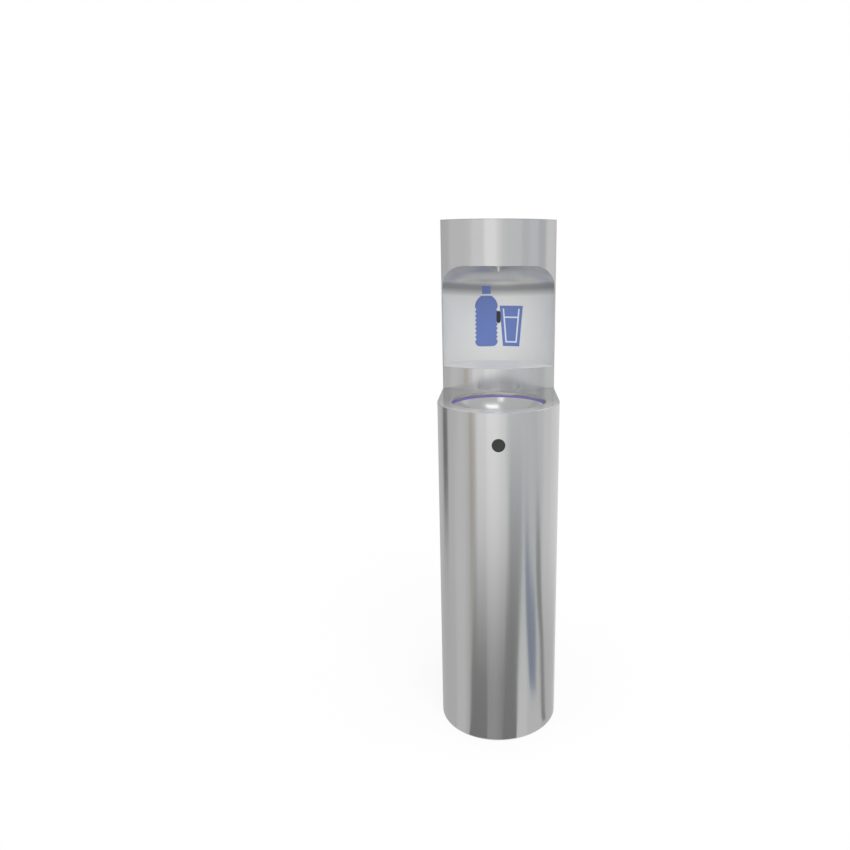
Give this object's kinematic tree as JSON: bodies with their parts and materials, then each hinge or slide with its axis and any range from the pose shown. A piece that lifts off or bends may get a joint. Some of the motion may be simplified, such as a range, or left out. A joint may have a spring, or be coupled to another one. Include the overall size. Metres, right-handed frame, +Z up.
{
  "type": "water dispenser",
  "caption": "Freestanding water dispenser: round-fronted steel pedestal with a lit bowl and push button, under a bow-fronted column with a bottle alcove, filler, sensor and rear service door.",
  "frame": {"origin": "middle of the footprint, on the floor", "axes": "+X to the right seen from the front, +Y to the back, +Z up"},
  "size_m": [0.32, 0.516, 1.364],
  "materials": {
    "steel_skin": "satin",
    "bright_steel": "bright polish",
    "inner_steel": "plain zinc",
    "white_plastic": "gloss",
    "grey_plastic": "matt",
    "dark_plastic": "satin",
    "brass": "machined",
    "rubber": "matt",
    "tube_plastic": "satin",
    "light_diffuser": "lit, frosted",
    "lever_coat": "dipped"
  },
  "bodies": {
    "root": {"base_plate": "inner_steel", "front_shell": "steel_skin", "rear_shell": "steel_skin", "basin_deck": "bright_steel", "deck_brackets": "inner_steel", "bowl": "bright_steel", "light_ring": "light_diffuser", "led_strip": "white_plastic", "clamp_studs": "inner_steel", "clamp_plates": "inner_steel", "clamp_nuts": "inner_steel", "waste_body": "bright_steel", "strainer_grid": "bright_steel", "strainer_screw": "bright_steel", "waste_gasket": "rubber", "waste_nut": "brass", "trap_body": "white_plastic", "trap_cup": "white_plastic", "waste_pipe": "white_plastic", "column_front": "steel_skin", "bottle_ledge": "bright_steel", "ledge_supports": "inner_steel", "alcove_liner": "bright_steel", "top_cap": "steel_skin", "nozzle": "bright_steel", "nozzle_seal": "rubber", "nozzle_nut": "brass", "sensor_window": "dark_plastic", "sensor_body": "dark_plastic", "sensor_cable": "rubber", "riser_tube": "tube_plastic", "button_housing": "grey_plastic", "button_spring": "inner_steel", "button_switch": "dark_plastic", "door_frame": "inner_steel", "hinge_fixed_leaves": "inner_steel", "hinge_pins": "inner_steel", "strike_plate": "inner_steel", "mounting_panel": "inner_steel", "filter_bracket": "inner_steel", "filter_head": "white_plastic", "filter_cartridge": "white_plastic", "supply_tube": "tube_plastic", "filter_link_tube": "tube_plastic", "solenoid_valve": "brass", "solenoid_coil": "dark_plastic", "stop_valve": "brass", "valve_clip": "grey_plastic", "control_box": "grey_plastic", "control_lid": "white_plastic", "cable_gland": "dark_plastic"},
    "button": {"push_button": "dark_plastic"},
    "door": {"service_door": "steel_skin", "hinge_door_leaves": "inner_steel", "lock_barrel": "inner_steel", "lock_nut": "inner_steel"},
    "lock": {"lock_cam": "inner_steel"},
    "lever": {"valve_lever": "lever_coat"}
  },
  "joints": [
    {"name": "button_press", "type": "slide", "parent": "root", "child": "button", "axis": [0, 1, 0], "range_m": [0, 0.004], "stiffness_N_per_m": 500, "springref_m": -0.004, "deforming": ["button_spring"]},
    {"name": "door_swing", "type": "hinge", "parent": "root", "child": "door", "pos_m": [-0.11833, 0.21371, 0.45], "axis": [0, 0, 1], "range_deg": [0, 105]},
    {"name": "lock_turn", "type": "hinge", "parent": "door", "child": "lock", "pos_m": [0.09027, 0.21779, 0.45], "axis": [-0.6018, -0.7986, 0], "range_deg": [0, 90]},
    {"name": "valve_turn", "type": "hinge", "parent": "root", "child": "lever", "pos_m": [0, 0.12, 0.155], "axis": [0, 1, 0], "range_deg": [0, 90]}
  ]
}
